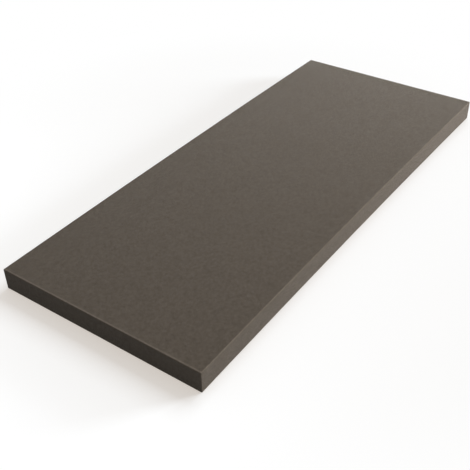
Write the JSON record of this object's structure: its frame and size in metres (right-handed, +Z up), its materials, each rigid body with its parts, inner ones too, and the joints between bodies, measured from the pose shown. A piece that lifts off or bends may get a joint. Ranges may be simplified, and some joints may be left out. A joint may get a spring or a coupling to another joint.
{
  "type": "foam seat pad",
  "caption": "Flat rectangular slab of bare open-cell foam with knife-cut edges, laid on a bench or board to cushion the seat.",
  "frame": {"origin": "middle of the underside, which lies on the bench", "axes": "+X along the pad's length, +Y across its width towards the back of the seat, +Z up through its thickness"},
  "size_m": [1.2, 0.5, 0.05],
  "materials": {
    "foam": "matte"
  },
  "bodies": {
    "root": {"foam_slab": "foam"}
  },
  "joints": []
}
